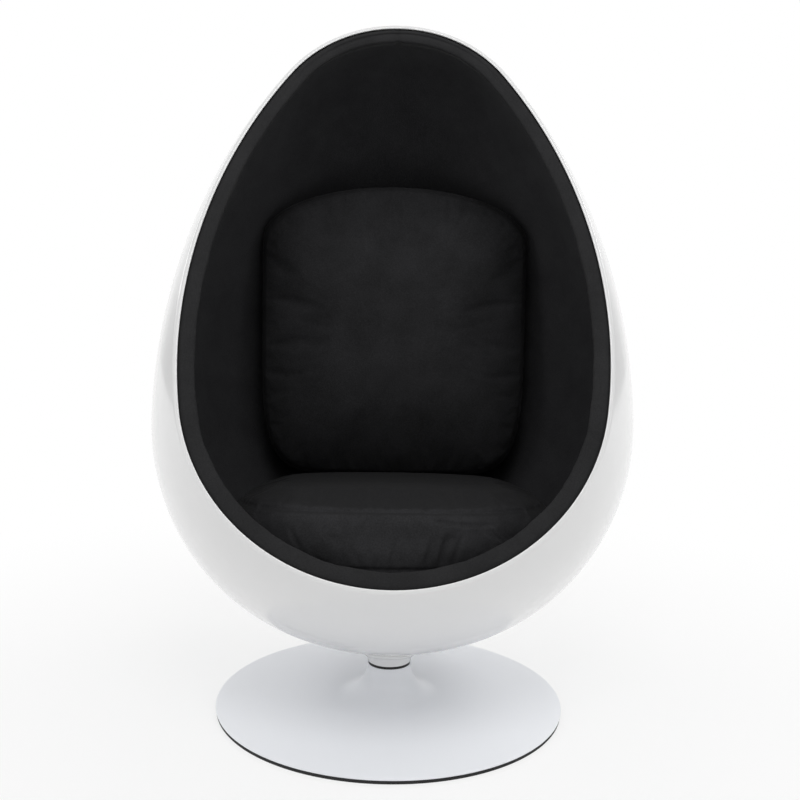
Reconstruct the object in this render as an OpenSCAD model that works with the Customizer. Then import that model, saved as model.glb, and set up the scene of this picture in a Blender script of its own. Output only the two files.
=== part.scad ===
// Pod chair: a leaning egg-shaped shell with an upholstered cavity on a round swivel base.
// Z is up, the front opening faces -Y, and the origin is where the swivel axis meets the floor.

/* [Shell] */
// Greatest width of the egg, across its waist
shell_w = 850; // [800:5:900]
// Height of the egg's bottom pole above the floor
pole_z = 87.4; // [86.9:0.1:88]
// Difference of the radii of the egg's bottom and lower side
low_spread = 62.5; // [50:0.5:70]
// Difference of the radii of the egg's upper side and top
high_spread = 750; // [700:5:780]
// Angle that the egg leans back
lean = 13.9; // [12:0.1:15]
// Wall of the moulded shell
shell_wall = 6; // [4:0.5:8]

/* [Opening] */
// Distance of the opening's plane in front of the egg's axis, at the waist
opening_front = 248.8; // [240:0.2:255]
// Angle of the opening's plane to the egg's axis
opening_tilt = 12.6; // [11:0.1:14]
// Width of the padded band inside the rim
band_w = 26; // [22:1:30]
// Depth of the padded band behind the rim
band_depth = 44; // [36:1:52]
// Rounding of the band's front edges
band_round = 7; // [5:0.5:9]

/* [Lining] */
// Thickness of the foam on the cavity's wall
lining_foam_t = 10; // [8:1:12]
// Thickness of the lining fabric
lining_t = 2; // [1.5:0.1:2.5]
// Height of the foam deck above the floor, at the front of the seat cushion
deck_z = 286; // [282:1:290]
// Slope of the foam deck, down to the back
deck_slope = 7; // [5:0.5:8]

/* [Seat cushion] */
// Width of the seat cushion
seat_w = 552; // [530:2:560]
// Depth of the seat cushion
seat_d = 576; // [560:2:590]
// Distance of the seat cushion's front edge in front of the swivel axis
seat_front = 190; // [180:1:196]
// Thickness of the seat cushion at its edge
seat_t = 104; // [95:1:110]
// Rise of the seat cushion's top above its edge
seat_crown = 20; // [14:1:24]

/* [Back cushion] */
// Width of the back cushion
back_w = 534; // [510:2:540]
// Height of the back cushion's straight sides
back_side_h = 470; // [455:1:475]
// Rise of the arch above the straight sides
back_arch_h = 104; // [95:1:108]
// Thickness of the back cushion at its edge
back_t = 36; // [30:1:40]
// Bulge of the back cushion's front
back_front_crown = 62; // [50:1:68]
// Bulge of the back cushion's rear
back_rear_crown = 66; // [55:1:70]
// Angle that the back cushion leans back
back_lean = 4; // [2:0.5:4]
// Distance of the middle of the back cushion's foot in front of the egg's greatest radius
back_inset = 97; // [97:1:107]

/* [Cushion covers] */
// Thickness of a cushion's cover with its wadding
cover_t = 3; // [2:0.5:4]
// Width of a zip's chain
zip_w = 6; // [5:0.5:7]
// Length of the seat cushion's zip
seat_zip_len = 400; // [340:5:420]
// Length of the back cushion's zip
back_zip_len = 200; // [160:5:210]
// Thickness of a zip's chain
zip_t = 1; // [0.8:0.1:1]
// Width of a hook-and-loop strip
strip_w = 40; // [30:1:50]
// Length of a hook-and-loop strip
strip_len = 300; // [260:5:320]
// Thickness of one half of a hook-and-loop strip
strip_t = 1.6; // [1.2:0.1:2]

/* [Base] */
// Diameter of the round base
base_d = 605; // [580:5:630]
// Height of the base's top edge above the floor
base_edge_z = 8.2; // [8.2:0.1:9]
// Rise of the base's face for each unit towards the neck
base_slope = 0.045; // [0.04:0.001:0.05]
// Sheet thickness of the base cover
sheet_t = 1.5; // [1.2:0.1:1.5]
// Diameter of the base cover's neck
neck_d = 76; // [74:1:80]
// Height of the base cover's neck above the floor
neck_z = 73; // [71:0.5:73.5]
// Height of the rubber floor ring
ring_h = 6.2; // [5.6:0.1:6.2]
// Width of the rubber floor ring
ring_w = 40; // [36:1:44]
// Thickness of the steel base plate
plate_t = 4.5; // [4:0.1:4.5]
// Thickness of the rubber between the base plate and the floor
plate_pad = 2; // [1.5:0.1:2.2]

/* [Swivel] */
// Outer diameter of the column tube
tube_d = 54; // [52:1:56]
// Bore of the column tube
tube_bore = 44; // [43:0.5:45]
// Height of the column tube's top above the floor
tube_z = 56; // [55:0.5:56.5]
// Diameter of the column's foot flange
flange_d = 130; // [120:2:140]
// Thickness of the column's foot flange
flange_t = 6; // [5:0.5:8]
// Diameter of the spindle
spindle_d = 30; // [28:1:32]
// Length of each bush inside the tube
bush_len = 14; // [10:1:16]
// Thickness of the upper bush's collar
bush_collar_t = 2; // [1.5:0.1:2.5]
// Diameter of the bearing balls
ball_d = 5; // [4.5:0.1:5.2]
// Number of bearing balls
ball_count = 16; // [12:1:18]
// Thickness of each bearing washer
race_t = 2; // [1.5:0.1:2.2]
// Outer diameter of the neck collar under the shell
collar_d = 76; // [74:1:80]
// Height of the neck collar's lower edge above the floor
collar_z = 77.5; // [77:0.1:78]

/* [Mounting] */
// Diameter of the plywood mounting board
board_d = 230; // [220:2:240]
// Height of the board's top above the inside of the bottom pole
board_t = 24; // [22:0.5:26]
// Diameter of the steel plate on the spindle
top_plate_d = 180; // [170:2:190]
// Thickness of the steel plate on the spindle
top_plate_t = 8; // [6:0.5:10]
// Number of bolts in each bolt circle
bolt_count = 6; // [4:1:8]
// Diameter of the bolts
bolt_d = 8; // [6:0.5:8]

/* [Hidden] */
$fn = 96;
egg_fn = 288;

white_gloss = "#f4f5f6";
white_satin = "#e9eaee";
black_fabric = "#232324";
lining_black = "#1c1c1d";
black_plastic = "#151515";
rubber_black = "#1a1a1a";
steel = "#9a9da1";
bright_steel = "#c2c5c8";
bronze = "#b08d57";
foam = "#e6dfc8";
ply = "#c9a878";

// One overrun serves all cuts
over = 1;
// Clearance of parts that turn on each other, on the radius
run_fit = 0.05;
// Clearance of parts that lie beside each other
lay_gap = 0.3;
// Cube that is larger than the chair, for cuts by a plane
vast = 4 * shell_w;

// The egg's four tangent arcs, in its own upright frame. Each pair of arcs joins on the
// line through its centres, which is given as shares of a length along X and along Z.
low_join_shares = [0.352, 0.936];
high_join_shares = [0.8, 0.6];
waist_r = shell_w / 2;
low_x = low_join_shares[0] * low_spread;
low_side_r = waist_r - low_x;
bottom_r = low_side_r + low_spread;
bottom_c = pole_z + bottom_r;
waist_z = bottom_c - low_join_shares[1] * low_spread;
high_x = -high_join_shares[0] * high_spread;
high_side_r = waist_r - high_x;
top_r = high_side_r - high_spread;
top_c = waist_z + high_join_shares[1] * high_spread;

// The leaned inner surfaces, as distances inside the egg's outer surface
foam_inset = shell_wall + lining_foam_t;
lining_inset = foam_inset + lining_t;
band_inset = shell_wall + band_w;

// The base cover's face runs on a slope to a round fillet up the neck
base_r = base_d / 2;
neck_r = neck_d / 2;
base_slope_angle = atan(base_slope);
flare_rise = neck_z - base_edge_z - base_slope * (base_r - neck_r);
flare_r = flare_rise / (1 / cos(base_slope_angle) - base_slope);
flare_x = neck_r + flare_r;
// Rounding of the cover's turned-down edge, inside and outside
rim_inner_round = 0.3;
rim_round = sheet_t + rim_inner_round;

// Heights of the swivel's stack, from the floor up
tube_r = tube_d / 2;
plate_top = plate_pad + plate_t;
flange_top = plate_top + flange_t;
bush_top = tube_z + bush_collar_t;
race_top = bush_top + race_t;
ball_top = race_top + ball_d;
shoulder_z = ball_top + race_t;
shoulder_t = 3;
// The collar stays straight for this height above its lower edge, then flares to the shell
collar_flare = 14;
// Height of the collar's blank, out of which the shell's bottom is cut
collar_blank_h = 24;
bore_r = tube_bore / 2;
spindle_r = spindle_d / 2;
bolt_r = bolt_d / 2;
// Hole of the shell and the board round the spindle, on the egg's own axis
shell_hole_r = spindle_r + board_t * tan(lean) + 3 * lay_gap;
// Circle of the balls, and the outer radius of the bearing washers
race_r = bore_r + 2 * lay_gap;
ball_circle_r = (race_r + spindle_r) / 2;
// Rim on the tube's top that the dust ring stands on
tube_rim = 1.6;
dust_gap = 0.8;
dust_top = collar_z - dust_gap;
spindle_shoulder_r = tube_r - tube_rim - lay_gap;
// Spindle's foot, its circlip and the washer above it, over the base plate
lower_bush_lift = 10;
lower_bush_z = plate_top + lower_bush_lift;
foot_washer_t = 2;
circlip_t = 1.6;
circlip_depth = 1.4;
circlip_w = 3.4;
spindle_foot_lift = 2;
spindle_foot_z = plate_top + spindle_foot_lift;
foot_washer_z = lower_bush_z - foot_washer_t;
circlip_z = foot_washer_z - circlip_t;
cap_rim_t = 1;
cap_rim_w = 3;
cap_reach = 5;
cap_r = spindle_r + cap_reach;
flange_bolt_circle = (tube_r + flange_d / 2) / 2;
washer_t = 1.6;
bolt_head_h = 0.65 * bolt_d;
head_r = 0.9 * bolt_d;
washer_r = bolt_d;

// The mounting stack lies on the leaned inside of the bottom pole
inner_pole = pole_z + shell_wall;
board_top = inner_pole + board_t;
top_plate_top = board_top + top_plate_t;
mount_circle = 0.37 * top_plate_d;
insert_wall = 2.5;
insert_r = bolt_r + insert_wall;
insert_len = 13;
insert_flange_w = 3;
insert_flange_r = insert_r + insert_flange_w;
insert_flange_t = 1.2;
foam_recess_h = 20;

// The seat cushion lies on its strips, which lie on the deck's fabric
seat_lift = lining_t + 2 * strip_t;
// A zip lies in a groove of the cover, with its slider flush on it
slider_t = 1;
slider_len = 18;
slider_recess = 0.1;
zip_groove = zip_t + slider_t + slider_recess;
// Place of the seat cushion's zip, as a share of the cushion's depth from its front
zip_place_share = 0.8;
strip_spacing = 0.45 * seat_w;

// Share of the way up a cushion's edge at each ring, with the ring's share of the outline
edge_shares = [[0.965, 0], [0.99, 0.12], [1, 0.34], [0.993, 0.62], [0.985, 0.86]];
crown_shares = [0.95, 0.88, 0.76, 0.6, 0.42, 0.22];
outline_steps = 36;
// Powers that square the outlines' corners
seat_front_power = 0.58;
seat_rear_power = 0.78;
back_foot_power = 0.286;
// Height at which the back cushion stands on the seat cushion, at its own front corner
back_y = waist_r - back_inset;
foot_run = back_y - back_t / 2 + seat_front;
foot_share = foot_run / (seat_d / 2) - 1;
foot_crown = seat_crown * crown_rise(foot_share);
back_foot_z = deck_z - foot_run * tan(deck_slope)
    + (seat_lift + seat_t + foot_crown) / cos(deck_slope) + lay_gap;

// Share of a crown's rise at a share of the way out to the edge
function crown_rise(share) = pow(1 - pow(share, 3), 0.8);

function signed_pow(v, e) = sign(v) * pow(abs(v), e);

// Everything inside leans about the bottom pole
module leaned() {
    translate([0, 0, pole_z]) rotate([-lean, 0, 0]) translate([0, 0, -pole_z]) children();
}

// Half planes below and above a height, right of the axis
module below(z) {
    translate([0, z]) mirror([0, 1]) square(vast);
}

module above(z) {
    translate([0, z]) square(vast);
}

// Half outline of the egg, a given distance inside its outer surface
module egg_half(inset) {
    $fn = egg_fn;
    low_join = bottom_c - low_join_shares[1] * (bottom_r - inset);
    high_join = waist_z + high_join_shares[1] * (high_side_r - inset);
    intersection() {
        translate([0, bottom_c]) circle(bottom_r - inset);
        above(0);
        below(low_join);
    }
    intersection() {
        translate([low_x, waist_z]) circle(low_side_r - inset);
        above(low_join);
        below(waist_z);
    }
    intersection() {
        translate([high_x, waist_z]) circle(high_side_r - inset);
        above(waist_z);
        below(high_join);
    }
    intersection() {
        translate([0, top_c]) circle(top_r - inset);
        above(high_join);
    }
}

module egg(inset) {
    leaned() rotate_extrude($fn = egg_fn) egg_half(inset);
}

// Space in front of the opening's plane, moved back by a depth
module before_opening(depth = 0) {
    leaned() translate([0, -opening_front, waist_z]) rotate([-opening_tilt, 0, 0])
        translate([-vast / 2, depth - vast, -vast / 2]) cube(vast);
}

// Space behind the opening's plane, moved back by a depth
module behind_opening(depth) {
    leaned() translate([0, -opening_front, waist_z]) rotate([-opening_tilt, 0, 0])
        translate([-vast / 2, depth, -vast / 2]) cube(vast);
}

// Frame of the deck, with the seat cushion's front edge at y = 0
module on_deck() {
    translate([0, -seat_front, deck_z]) rotate([-deck_slope, 0, 0]) children();
}

// Space under the deck's plane, moved up by a height
module under_deck(height = 0) {
    on_deck() translate([-vast / 2, -vast / 2, height - vast]) cube(vast);
}

// Round disc or washer, a bore of zero leaves it whole
module disc(r, z, h, bore = 0) {
    translate([0, 0, z]) difference() {
        cylinder(r = r, h = h);
        if (bore > 0) translate([0, 0, -over]) cylinder(r = bore, h = h + 2 * over);
    }
}

// Children repeated on a circle
module on_circle(r, count) {
    for (i = [0:count - 1]) rotate([0, 0, (i + 0.5) * 360 / count]) translate([r, 0, 0]) children();
}

module floor_ring() {
    step_r = base_r - ring_w / 2;
    color(rubber_black) difference() {
        disc(base_r - over, 0, ring_h, base_r - ring_w);
        disc(step_r + lay_gap, plate_pad, ring_h);
    }
}

module base_plate() {
    color(steel) difference() {
        disc(base_r - ring_w / 2, plate_pad, plate_t, cap_r + lay_gap / 2);
        on_circle(flange_bolt_circle, bolt_count)
            translate([0, 0, plate_pad - over]) cylinder(r = bolt_r, h = plate_t + 2 * over);
    }
}

module access_cap() {
    color(black_plastic) {
        disc(cap_r, plate_pad - cap_rim_t / 2, plate_t);
        disc(cap_r + cap_rim_w, plate_pad - cap_rim_t, cap_rim_t);
    }
}

// Section of the base cover, a given distance inside its face
module cover_section(inset) {
    edge_x = base_r - inset;
    foot_x = flare_x - (flare_r + inset) * sin(base_slope_angle);
    foot_z = neck_z - (flare_r + inset) * cos(base_slope_angle);
    round_r = rim_round - inset;
    round_x = edge_x - round_r;
    face_z = foot_z - base_slope * (round_x - foot_x);
    difference() {
        polygon([
            [0, ring_h], [edge_x, ring_h], [edge_x, face_z - round_r], [round_x, face_z],
            [foot_x, foot_z], [flare_x, neck_z], [0, neck_z]
        ]);
        translate([flare_x, neck_z]) circle(flare_r + inset);
    }
    intersection() {
        translate([round_x, face_z - round_r]) circle(round_r);
        above(ring_h);
    }
}

module base_cover() {
    color(white_satin) rotate_extrude() difference() {
        cover_section(0);
        cover_section(sheet_t);
    }
}

module column() {
    color(steel) difference() {
        union() {
            disc(flange_d / 2, plate_top, flange_t);
            disc(tube_r, plate_top, tube_z - plate_top);
        }
        disc(bore_r, plate_top - over, vast);
        on_circle(flange_bolt_circle, bolt_count) disc(bolt_r + lay_gap, plate_top - over, vast);
    }
}

// Hexagon bolt, its head's foot at the origin
module hex_bolt(len) {
    translate([0, 0, -len]) cylinder(r = bolt_r - run_fit, h = len);
    cylinder(r = head_r, h = bolt_head_h, $fn = 6);
}

module column_bolts() {
    color(bright_steel) on_circle(flange_bolt_circle, bolt_count)
        translate([0, 0, flange_top + washer_t]) hex_bolt(flange_t + washer_t + plate_t);
}

module column_washers() {
    color(bright_steel) on_circle(flange_bolt_circle, bolt_count)
        disc(washer_r, flange_top, washer_t, bolt_r + lay_gap);
}

module lower_bush() {
    color(bronze) disc(bore_r, lower_bush_z, bush_len, spindle_r + run_fit);
}

module upper_bush() {
    color(bronze) {
        disc(bore_r, tube_z - bush_len, bush_len, spindle_r + run_fit);
        disc(tube_r - tube_rim, tube_z, bush_collar_t, spindle_r + run_fit);
    }
}

module lower_race() {
    color(bright_steel) disc(race_r, bush_top, race_t, spindle_r + run_fit);
}

module upper_race() {
    color(bright_steel) disc(race_r, ball_top, race_t, spindle_r);
}

module ball_ring() {
    on_circle(ball_circle_r, ball_count) translate([0, 0, race_top + ball_d / 2]) children();
}

module ball_cage() {
    cage_t = 0.4 * ball_d;
    color(bronze) difference() {
        disc(race_r, race_top + (ball_d - cage_t) / 2, cage_t, spindle_r + lay_gap);
        ball_ring() translate([0, 0, -ball_d]) cylinder(d = ball_d + lay_gap, h = 2 * ball_d);
    }
}

module bearing_balls() {
    color(bright_steel) ball_ring() sphere(d = ball_d);
}

module dust_ring() {
    skirt = bush_len / 2;
    color(black_plastic) difference() {
        disc(neck_r - sheet_t - lay_gap / 2, tube_z - skirt, dust_top - tube_z + skirt);
        disc(tube_r, tube_z - skirt - over, skirt + over);
        disc(tube_r - tube_rim + lay_gap / 2, tube_z - over, vast);
    }
}

module spindle() {
    groove_r = spindle_r - circlip_depth;
    color(bright_steel) {
        difference() {
            disc(spindle_r, spindle_foot_z, board_top - spindle_foot_z);
            disc(spindle_r + over, circlip_z, circlip_t, groove_r);
            leaned() translate([0, 0, board_top]) cylinder(r = top_plate_d, h = top_plate_d);
        }
        disc(spindle_shoulder_r, shoulder_z, shoulder_t, spindle_r - over);
        leaned() difference() {
            disc(top_plate_d / 2, board_top, top_plate_t);
            on_circle(mount_circle, bolt_count) disc(bolt_r + lay_gap, board_top - over, vast);
        }
    }
}

module circlip() {
    color(bright_steel) difference() {
        disc(spindle_r - circlip_depth + circlip_w, circlip_z, circlip_t, spindle_r - circlip_depth);
        translate([0, -circlip_w, circlip_z - over]) cube([spindle_d, 2 * circlip_w, circlip_t + 2 * over]);
    }
}

module foot_washer() {
    color(bright_steel) disc(bore_r - lay_gap, foot_washer_z, foot_washer_t, spindle_r + run_fit);
}

module neck_collar() {
    flare_z = collar_z + collar_flare;
    color(white_gloss) difference() {
        union() {
            disc(spindle_shoulder_r, shoulder_z + shoulder_t, collar_z - shoulder_z);
            disc(collar_d / 2, collar_z, collar_blank_h);
            translate([0, 0, flare_z])
                cylinder(r1 = collar_d / 2, r2 = collar_d / 2 + collar_blank_h, h = collar_blank_h);
        }
        leaned() translate([0, 0, bottom_c]) sphere(bottom_r, $fn = 2 * egg_fn);
        disc(spindle_r + run_fit, shoulder_z, vast);
    }
}

module shell() {
    color(white_gloss) difference() {
        leaned() rotate_extrude($fn = egg_fn) difference() {
            egg_half(0);
            egg_half(shell_wall);
            translate([0, pole_z - over]) square([shell_hole_r, bottom_r]);
        }
        before_opening();
    }
}

module mounting_board() {
    color(ply) leaned() difference() {
        rotate_extrude($fn = egg_fn) intersection() {
            egg_half(shell_wall);
            translate([shell_hole_r, pole_z])
                square([board_d / 2 - shell_hole_r, board_top - pole_z]);
        }
        on_circle(mount_circle, bolt_count) {
            disc(insert_r, board_top - insert_len, insert_len + over);
            disc(insert_flange_r, board_top - insert_flange_t, insert_flange_t + over);
        }
    }
}

module threaded_inserts() {
    color(bright_steel) leaned() on_circle(mount_circle, bolt_count) {
        disc(insert_r, board_top - insert_len, insert_len, bolt_r);
        disc(insert_flange_r, board_top - insert_flange_t, insert_flange_t, bolt_r);
    }
}

module mounting_bolts() {
    color(bright_steel) leaned() on_circle(mount_circle, bolt_count)
        translate([0, 0, top_plate_top + washer_t]) hex_bolt(top_plate_t + washer_t + insert_len);
}

module mounting_washers() {
    color(bright_steel) leaned() on_circle(mount_circle, bolt_count)
        disc(washer_r, top_plate_top, washer_t, bolt_r + lay_gap);
}

module bowl_foam() {
    recess_top = board_top + foam_recess_h;
    color(foam) difference() {
        intersection() {
            egg(shell_wall);
            under_deck();
            behind_opening(band_depth);
        }
        leaned() disc(board_d / 2, pole_z, recess_top - pole_z);
    }
}

module lining_foam() {
    color(foam) difference() {
        egg(shell_wall);
        egg(foam_inset);
        before_opening(band_depth);
        under_deck();
    }
}

module lining_cover() {
    color(lining_black) difference() {
        egg(foam_inset);
        difference() {
            egg(lining_inset);
            under_deck(lining_t);
        }
        before_opening(band_depth);
        under_deck();
    }
}

module edge_band() {
    // Two steps round the band's front edges off
    step_shares = [[1, 0], [0.35, 0.5]];
    color(black_fabric) for (step = step_shares) difference() {
        egg(shell_wall + band_round * step[1]);
        egg(band_inset - band_round * step[1]);
        before_opening(band_round * step[0]);
        behind_opening(band_depth);
    }
}

// Closed crowned solid: an outline of points about a middle, and rings of [share, height]
module pillow(outline, middle, rings) {
    steps = len(outline);
    last = len(rings) * steps;
    points = concat(
        [for (ring = rings) for (p = outline)
            [middle[0] + (p[0] - middle[0]) * ring[0], middle[1] + (p[1] - middle[1]) * ring[0], ring[1]]],
        [for (ring = [rings[0], rings[len(rings) - 1]]) [middle[0], middle[1], ring[1]]]
    );
    sides = [for (k = [0:len(rings) - 2]) for (i = [0:steps - 1])
        let (a = k * steps + i, b = k * steps + (i + 1) % steps)
            for (face = [[a, a + steps, b], [b, a + steps, b + steps]]) face];
    bottom = [for (i = [0:steps - 1]) [last, i, (i + 1) % steps]];
    top = [for (i = [0:steps - 1]) [last + 1, last - steps + (i + 1) % steps, last - steps + i]];
    polyhedron(points, concat(sides, bottom, top));
}

// Rings of a cushion, drawn in by a skin: flat or crowned below, edge, and crowned above
function cushion_rings(half, thick, below, above, skin) =
    let (draw = skin / half, crown_z = [for (s = crown_shares) crown_rise(s)])
    concat(
        below == 0 ? [] : [for (i = [len(crown_shares) - 1:-1:0])
            [crown_shares[i] - draw * crown_shares[i], skin - below * crown_z[i]]],
        [for (e = edge_shares) [e[0] - draw, skin + e[1] * (thick - 2 * skin)]],
        [for (i = [0:len(crown_shares) - 1])
            [crown_shares[i] - draw * crown_shares[i], thick - skin + above * crown_z[i]]]
    );

seat_middle = [0, seat_d / 2];
seat_outline = [for (i = [0:outline_steps - 1])
    let (u = (i + 0.5) * 360 / outline_steps, e = sin(u) < 0 ? seat_front_power : seat_rear_power)
        seat_middle + [seat_w / 2 * signed_pow(cos(u), e), seat_d / 2 * signed_pow(sin(u), e)]];
back_middle = [0, (back_side_h + back_arch_h) / 2];
back_outline = [for (i = [0:outline_steps - 1])
    let (u = i * 360 / outline_steps)
        sin(u) >= 0
            ? [back_w / 2 * cos(u), back_side_h + back_arch_h * sin(u)]
            : [back_w / 2 * signed_pow(cos(u), back_foot_power),
               back_side_h + back_side_h * signed_pow(sin(u), back_foot_power)]];

module seat_form(skin) {
    on_deck() translate([0, 0, seat_lift])
        pillow(seat_outline, seat_middle, cushion_rings(seat_w / 2, seat_t, 0, seat_crown, skin));
}

// Frame of the back cushion: its foot's middle at the origin, y up the cushion, z to the front
module on_back() {
    translate([0, back_y, back_foot_z]) rotate([90 - back_lean, 0, 0]) children();
}

module back_form(skin) {
    on_back() translate([0, 0, -back_t / 2]) pillow(back_outline, back_middle,
        cushion_rings(back_w / 2, back_t, back_rear_crown, back_front_crown, skin));
}

module seat_zip_place() {
    on_deck() translate([0, zip_place_share * seat_d, seat_lift]) children();
}

module back_zip_place() {
    on_back() translate([0, 0, (edge_shares[2][1] - 0.5) * back_t]) rotate([-90, 0, 0]) children();
}

// Block centred in x and y that starts at a height
module block(x, y, z, start = 0) {
    translate([-x / 2, -y / 2, start]) cube([x, y, z]);
}

module zip_groove_cut(len) {
    block(len + 2 * lay_gap, zip_w + 2 * lay_gap, zip_groove + over, -over);
}

module zip_chain(len) {
    block(len, zip_w, zip_t, zip_groove - zip_t);
}

module zip_slider(len) {
    translate([(len - slider_len) / 2 - slider_len / 2, 0, 0])
        block(slider_len, zip_w, slider_t, zip_groove - zip_t - slider_t);
}

// The pair of strips under the seat cushion, at a height above the deck's fabric
module strips(height) {
    on_deck() for (side = [-1, 1])
        translate([side * strip_spacing / 2, seat_d / 2, lining_t + height]) block(strip_w, strip_len, strip_t);
}

module seat_cushion_core() {
    color(foam) seat_form(cover_t + lay_gap);
}

module seat_cushion_cover() {
    color(black_fabric) difference() {
        seat_form(0);
        seat_form(cover_t);
        seat_zip_place() zip_groove_cut(seat_zip_len);
    }
}

module seat_zip() {
    color(black_plastic) seat_zip_place() zip_chain(seat_zip_len);
}

module seat_zip_slider() {
    color(bright_steel) seat_zip_place() zip_slider(seat_zip_len);
}

module hook_strips() {
    color(black_plastic) strips(0);
}

module loop_strips() {
    color(black_fabric) strips(strip_t);
}

module back_cushion_core() {
    color(foam) back_form(cover_t + lay_gap);
}

module back_cushion_cover() {
    color(black_fabric) difference() {
        back_form(0);
        back_form(cover_t);
        back_zip_place() zip_groove_cut(back_zip_len);
    }
}

module back_zip() {
    color(black_plastic) back_zip_place() zip_chain(back_zip_len);
}

module back_zip_slider() {
    color(bright_steel) back_zip_place() zip_slider(back_zip_len);
}

floor_ring();
base_plate();
access_cap();
base_cover();
column();
column_bolts();
column_washers();
lower_bush();
upper_bush();
lower_race();
ball_cage();
bearing_balls();
dust_ring();
upper_race();
spindle();
circlip();
foot_washer();
neck_collar();
shell();
mounting_board();
threaded_inserts();
mounting_bolts();
mounting_washers();
bowl_foam();
lining_foam();
lining_cover();
edge_band();
seat_cushion_core();
seat_cushion_cover();
seat_zip();
seat_zip_slider();
hook_strips();
loop_strips();
back_cushion_core();
back_cushion_cover();
back_zip();
back_zip_slider();
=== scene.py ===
import math

import bpy
import numpy as np
from mathutils import Matrix, Vector


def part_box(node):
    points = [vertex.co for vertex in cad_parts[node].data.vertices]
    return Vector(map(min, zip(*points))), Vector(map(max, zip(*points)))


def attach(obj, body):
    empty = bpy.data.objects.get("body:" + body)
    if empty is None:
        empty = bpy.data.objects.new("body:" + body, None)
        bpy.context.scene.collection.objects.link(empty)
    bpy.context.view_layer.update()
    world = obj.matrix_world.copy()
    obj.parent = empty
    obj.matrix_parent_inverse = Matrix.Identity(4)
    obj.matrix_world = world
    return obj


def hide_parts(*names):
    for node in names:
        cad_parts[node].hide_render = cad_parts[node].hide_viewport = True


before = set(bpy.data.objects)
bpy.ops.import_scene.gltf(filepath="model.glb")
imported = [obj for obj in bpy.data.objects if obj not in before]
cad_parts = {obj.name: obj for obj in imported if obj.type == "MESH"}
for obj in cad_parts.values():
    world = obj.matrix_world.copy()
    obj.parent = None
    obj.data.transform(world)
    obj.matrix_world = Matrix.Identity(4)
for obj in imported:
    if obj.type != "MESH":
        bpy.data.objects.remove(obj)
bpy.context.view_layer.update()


# Camera: it stands a little under two metres in front of the chair, at the height of a
# seated person's eyes, looks slightly down and is turned a degree about its own axis.
camera_place = Vector((-0.0108, -1.8, 0.7861))
camera_turn = math.radians(-0.7)
camera_pitch = math.radians(7.79)
camera_roll = math.radians(0.98)
photo_px = 800
focal_px = 1063.6
sensor_mm = 36

camera_data = bpy.data.cameras.new("camera")
camera_data.sensor_width = sensor_mm
camera_data.lens = focal_px / photo_px * sensor_mm
camera = bpy.data.objects.new("camera", camera_data)
bpy.context.scene.collection.objects.link(camera)
camera.matrix_world = (
    Matrix.Translation(camera_place)
    @ Matrix.Rotation(camera_turn, 4, "Z")
    @ Matrix.Rotation(math.pi / 2 - camera_pitch, 4, "X")
    @ Matrix.Rotation(camera_roll, 4, "Z")
)
bpy.context.scene.camera = camera
bpy.context.scene.view_settings.view_transform = "Standard"


# Stage: a floor of seamless white paper in a white surround, as in a photographer's studio.
# The floor takes the chair's soft shadow, and the gloss shows the surround's dimmer parts.
def linear(hex_colour):
    """Turns an sRGB hex value such as "f4f5f6" into a linear colour with alpha."""
    parts = [int(hex_colour[i:i + 2], 16) / 255 for i in (0, 2, 4)]
    return tuple(p / 12.92 if p <= 0.04045 else ((p + 0.055) / 1.055) ** 2.4 for p in parts) + (1,)


def add_node(tree, kind, inputs=None, **settings):
    """Adds a node, sets its properties, and fills its inputs with values or other sockets."""
    node = tree.nodes.new(kind)
    for name, value in settings.items():
        setattr(node, name, value)
    for key, value in (inputs or {}).items():
        if isinstance(value, bpy.types.NodeSocket):
            tree.links.new(value, node.inputs[key])
        else:
            node.inputs[key].default_value = value
    return node


def new_material(name, **surface):
    """Makes a material with one Principled shader and sets the shader's own sockets."""
    material = bpy.data.materials.new(name)
    material.use_nodes = True
    shader = material.node_tree.nodes["Principled BSDF"]
    for key, value in surface.items():
        shader.inputs[key.replace("_", " ")].default_value = value
    return material, material.node_tree, shader


paper_white = linear("f2f2f2")
floor_size = 30.0
floor_share_lit = 0.7
shadow_from = 0.35
shadow_to = 1.5
surround_white = linear("ffffff")
surround_strength = 0.65
wing_strength = 0.3
wing_from = 0.42
wing_to = 0.8
room_share = 0.56
room_from = -0.95
room_to = -0.35

bpy.ops.object.select_all(action="DESELECT")
bpy.ops.mesh.primitive_plane_add(size=floor_size, location=(0, 0, 0))
floor = bpy.context.object
floor.name = "floor"

# Paper: an even matt white. To the camera and in the gloss it also glows, which keeps it
# white all round and lets its real shading show near the chair only.
floor_paint, tree, shader = new_material(
    "white_seamless_paper", Base_Color=paper_white, Roughness=0.9)
path = add_node(tree, "ShaderNodeLightPath")
seen = add_node(
    tree, "ShaderNodeMath",
    {0: path.outputs["Is Camera Ray"], 1: path.outputs["Is Glossy Ray"]}, operation="MAXIMUM")
glow = add_node(tree, "ShaderNodeEmission", {"Color": surround_white, "Strength": 1.0})
place = add_node(tree, "ShaderNodeTexCoord").outputs["Object"]
distance = add_node(tree, "ShaderNodeVectorMath", {0: place}, operation="LENGTH")
lit = add_node(tree, "ShaderNodeMapRange", {
    "Value": distance.outputs["Value"], "From Min": shadow_from, "From Max": shadow_to,
    "To Min": floor_share_lit, "To Max": 1.0}, interpolation_type="SMOOTHSTEP")
share = add_node(
    tree, "ShaderNodeMath", {0: seen.outputs[0], 1: lit.outputs[0]}, operation="MULTIPLY")
mixed = add_node(tree, "ShaderNodeMixShader", {
    0: share.outputs[0], 1: shader.outputs[0], 2: glow.outputs[0]})
tree.links.new(mixed.outputs[0], tree.nodes["Material Output"].inputs["Surface"])
floor.data.materials.append(floor_paint)

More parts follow.
